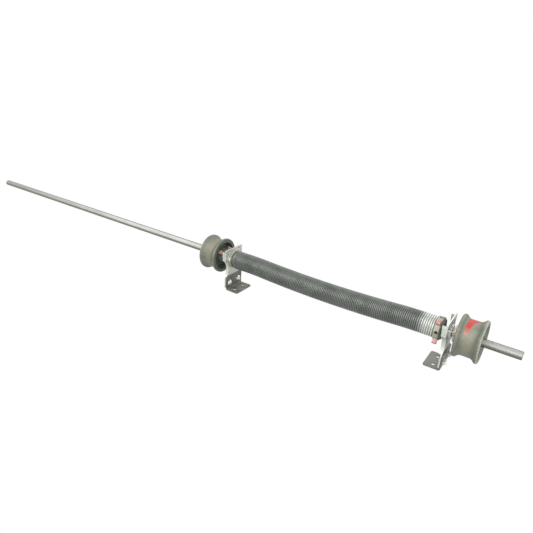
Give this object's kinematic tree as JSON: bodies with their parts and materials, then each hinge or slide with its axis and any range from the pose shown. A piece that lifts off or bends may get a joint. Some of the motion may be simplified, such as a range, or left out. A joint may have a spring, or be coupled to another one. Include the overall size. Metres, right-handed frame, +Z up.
{
  "type": "ramp door spring",
  "caption": "Ramp door torsion spring on a long shaft, with a winding cone, a cable drum at each end of the spring and two bearing brackets with feet.",
  "frame": {"origin": "on the plane of the two bracket feet, under the middle of the shaft", "axes": "+X along the shaft from the long bare end to the drum end, +Y away from the front, +Z up from the feet"},
  "size_m": [1.88, 0.0976, 0.1345],
  "materials": {
    "shaft_zinc": "bright zinc plated bar, drawn along its length",
    "drum_casting": "dull as-cast alloy, grey with a green-brown tint",
    "cone_casting": "dull as-cast alloy",
    "red_screw": "dull red dipped steel",
    "dark_angle": "dark mill scale, lightly oiled",
    "pale_plate": "pale galvanised sheet",
    "bearing_steel": "ground bearing steel",
    "bright_zinc": "bright zinc plated fasteners",
    "spring_wire": "oil-tempered wire, dark grey with a dull sheen"
  },
  "bodies": {
    "left_bracket": {"left_angle": "dark_angle", "left_bearing_plate": "pale_plate", "left_outer_race": "bearing_steel", "left_bracket_bolts": "bright_zinc", "left_bracket_nuts": "bright_zinc", "stationary_cone": "cone_casting", "stationary_cone_bolts": "bright_zinc", "stationary_cone_nuts": "bright_zinc", "torsion_spring": "spring_wire"},
    "shaft": {"shaft": "shaft_zinc", "left_drum": "drum_casting", "right_drum": "drum_casting", "left_drum_set_screws": "red_screw", "right_drum_set_screws": "red_screw", "winding_cone": "cone_casting", "winding_cone_set_screws": "red_screw", "left_inner_race": "bearing_steel", "right_inner_race": "bearing_steel", "left_bearing_balls": "bearing_steel", "right_bearing_balls": "bearing_steel"},
    "right_bracket": {"right_angle": "dark_angle", "right_bearing_plate": "pale_plate", "right_outer_race": "bearing_steel", "right_bracket_bolts": "bright_zinc", "right_bracket_nuts": "bright_zinc"}
  },
  "joints": [
    {"name": "shaft_turn", "type": "hinge", "parent": "left_bracket", "child": "shaft", "pos_m": [0.1845, 0, 0.0857], "axis": [1, 0, 0], "range_deg": [0, 2610], "stiffness_Nm_per_rad": 0.22, "deforming": ["torsion_spring"]},
    {"name": "right_bracket_swing", "type": "hinge", "parent": "left_bracket", "child": "right_bracket", "pos_m": [0.791, 0, 0.0857], "axis": [1, 0, 0], "continuous": true}
  ]
}
